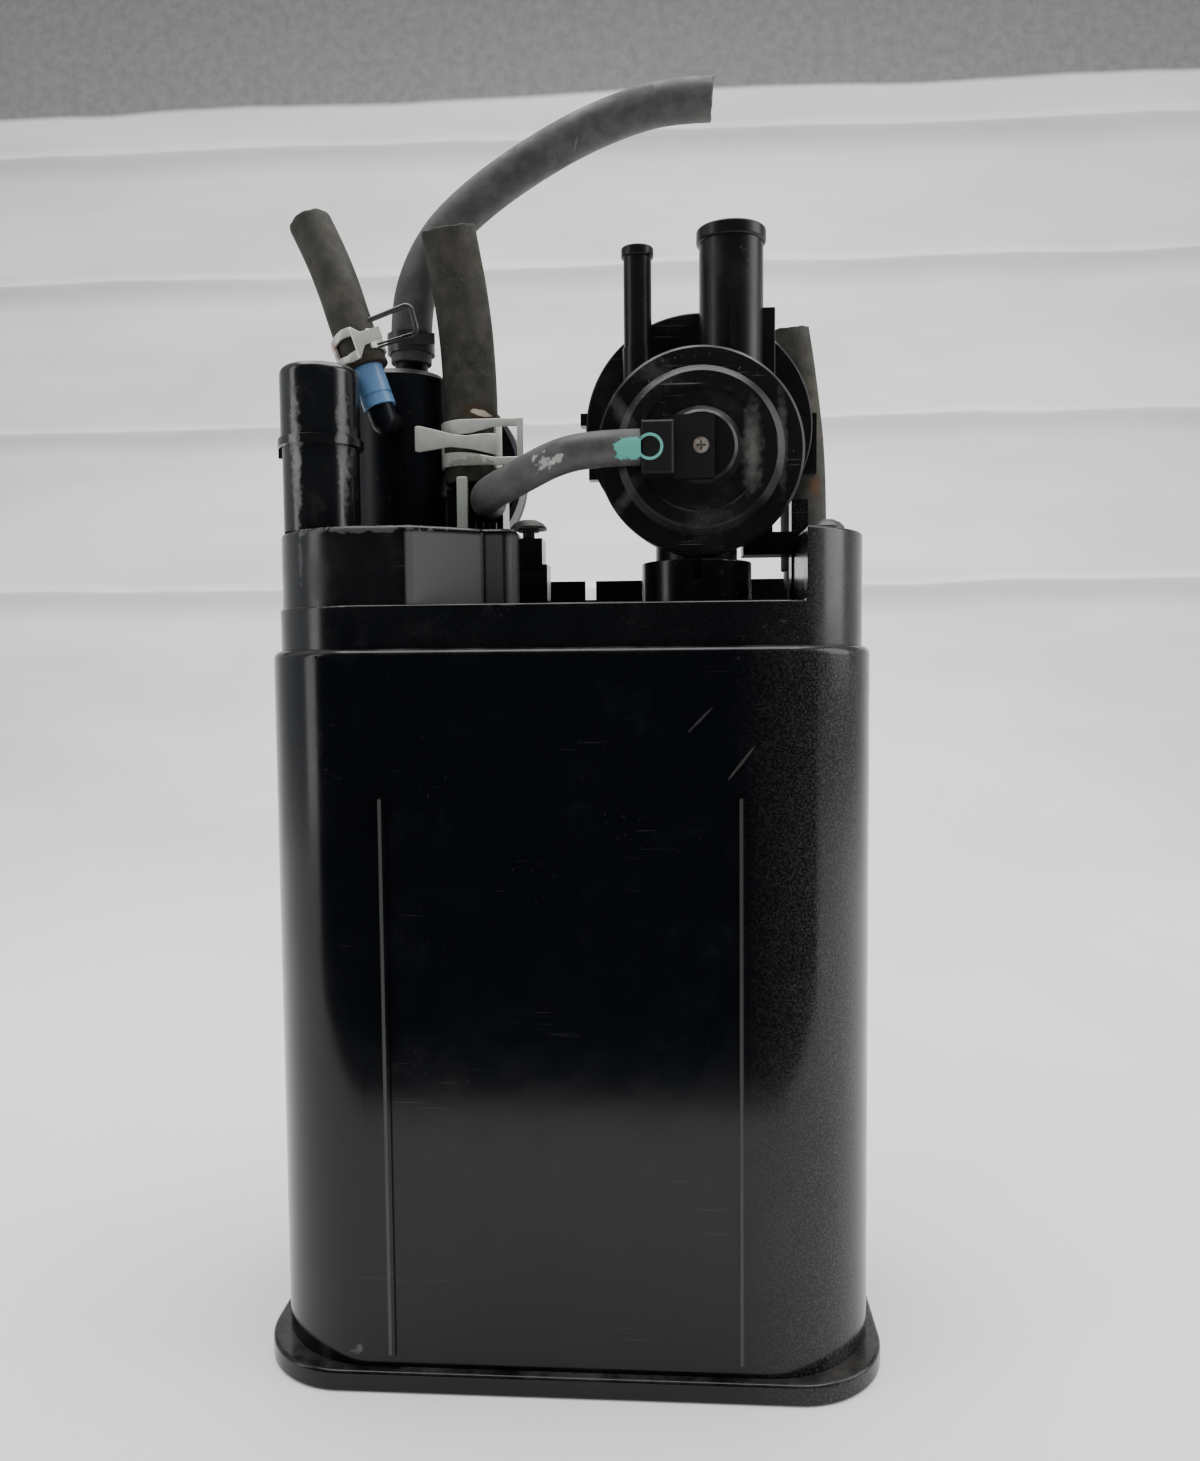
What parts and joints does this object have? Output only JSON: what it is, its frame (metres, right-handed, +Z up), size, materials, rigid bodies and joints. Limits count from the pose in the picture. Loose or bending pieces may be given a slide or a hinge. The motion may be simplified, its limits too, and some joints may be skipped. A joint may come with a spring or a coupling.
{
  "type": "evaporative emission charcoal canister",
  "caption": "Rounded upright charcoal vapour canister with a diaphragm pressure valve, air filter, vent valve, ports and cut rubber hoses on top.",
  "frame": {"origin": "centre of the footprint of the base flange, on the floor", "axes": "+Z up; the pressure valve's round cover faces -Y; +X to the right when seen from the front"},
  "size_m": [0.196, 0.112, 0.4143],
  "materials": {
    "case_plastic": "glossy moulded black nylon, scratched",
    "deck_plastic": "satin black moulded nylon",
    "port_plastic": "glossy black moulded nylon",
    "valve_plastic": "satin black moulded nylon",
    "clip_nylon": "matte black nylon",
    "pale_nylon": "weathered pale grey nylon",
    "blue_plastic": "semi-gloss blue nylon",
    "membrane_rubber": "smooth black rubber",
    "felt": "needled grey felt",
    "activated_carbon": "pelletised black carbon",
    "plate_plastic": "matte dark nylon",
    "spring_steel": "drawn steel wire",
    "foam": "open-cell dark foam",
    "screw_metal": "dull dark steel",
    "hose_rubber": "dark grey smooth hose rubber",
    "aged_hose_rubber": "dirty brown-grey hose rubber",
    "clamp_steel": "pale plated spring steel with light rust",
    "dark_clamp_steel": "black coated spring steel"
  },
  "bodies": {
    "root": {"bottom_cover": "case_plastic", "canister_case": "case_plastic", "top_cover": "deck_plastic", "inlet_manifold": "deck_plastic", "fresh_air_port": "port_plastic", "filter_housing": "port_plastic", "filter_cap": "port_plastic", "vent_housing": "port_plastic", "vent_cover": "port_plastic", "valve_body": "valve_plastic", "valve_front_cover": "valve_plastic", "valve_back_cover": "valve_plastic", "push_clips": "clip_nylon", "locating_tab": "pale_nylon", "check_valve": "blue_plastic", "main_upper_felt": "felt", "second_upper_felt": "felt", "main_carbon_bed": "activated_carbon", "second_carbon_bed": "activated_carbon", "main_plate_springs": "spring_steel", "second_plate_spring": "spring_steel", "valve_spring": "spring_steel", "vent_spring": "spring_steel", "air_filter_foam": "foam", "vent_diaphragm": "membrane_rubber", "valve_diaphragm": "membrane_rubber", "neck_o_ring": "membrane_rubber", "adjusting_screw": "screw_metal", "long_hose": "hose_rubber", "main_hose": "aged_hose_rubber", "signal_hose": "hose_rubber", "left_hose": "aged_hose_rubber", "right_hose": "aged_hose_rubber", "main_hose_clamp": "clamp_steel", "left_hose_clamp": "clamp_steel", "long_hose_clamp": "dark_clamp_steel"},
    "main_plate": {"main_pressure_plate": "plate_plastic", "main_lower_felt": "felt"},
    "second_plate": {"second_pressure_plate": "plate_plastic", "second_lower_felt": "felt"},
    "valve_poppet": {"valve_poppet": "plate_plastic"},
    "vent_poppet": {"vent_poppet": "plate_plastic"},
    "check_disc": {"check_disc": "membrane_rubber"}
  },
  "joints": [
    {"name": "main_plate_travel", "type": "slide", "parent": "root", "child": "main_plate", "axis": [0, 0, -1], "range_m": [0, 0.006], "stiffness_N_per_m": 1500, "springref_m": -0.012, "deforming": ["main_plate_springs"]},
    {"name": "second_plate_travel", "type": "slide", "parent": "root", "child": "second_plate", "axis": [0, 0, -1], "range_m": [0, 0.006], "stiffness_N_per_m": 800, "springref_m": -0.012, "deforming": ["second_plate_spring"]},
    {"name": "pressure_valve_lift", "type": "slide", "parent": "root", "child": "valve_poppet", "axis": [0, -1, 0], "range_m": [0, 0.0022], "stiffness_N_per_m": 120, "springref_m": -0.003, "deforming": ["valve_spring", "valve_diaphragm"]},
    {"name": "vent_valve_lift", "type": "slide", "parent": "root", "child": "vent_poppet", "axis": [0, 1, 0], "range_m": [0, 0.002], "stiffness_N_per_m": 100, "springref_m": -0.003, "deforming": ["vent_spring", "vent_diaphragm"]},
    {"name": "check_disc_lift", "type": "slide", "parent": "root", "child": "check_disc", "axis": [-0.3256, 0, 0.9455], "range_m": [0, 0.003]}
  ]
}
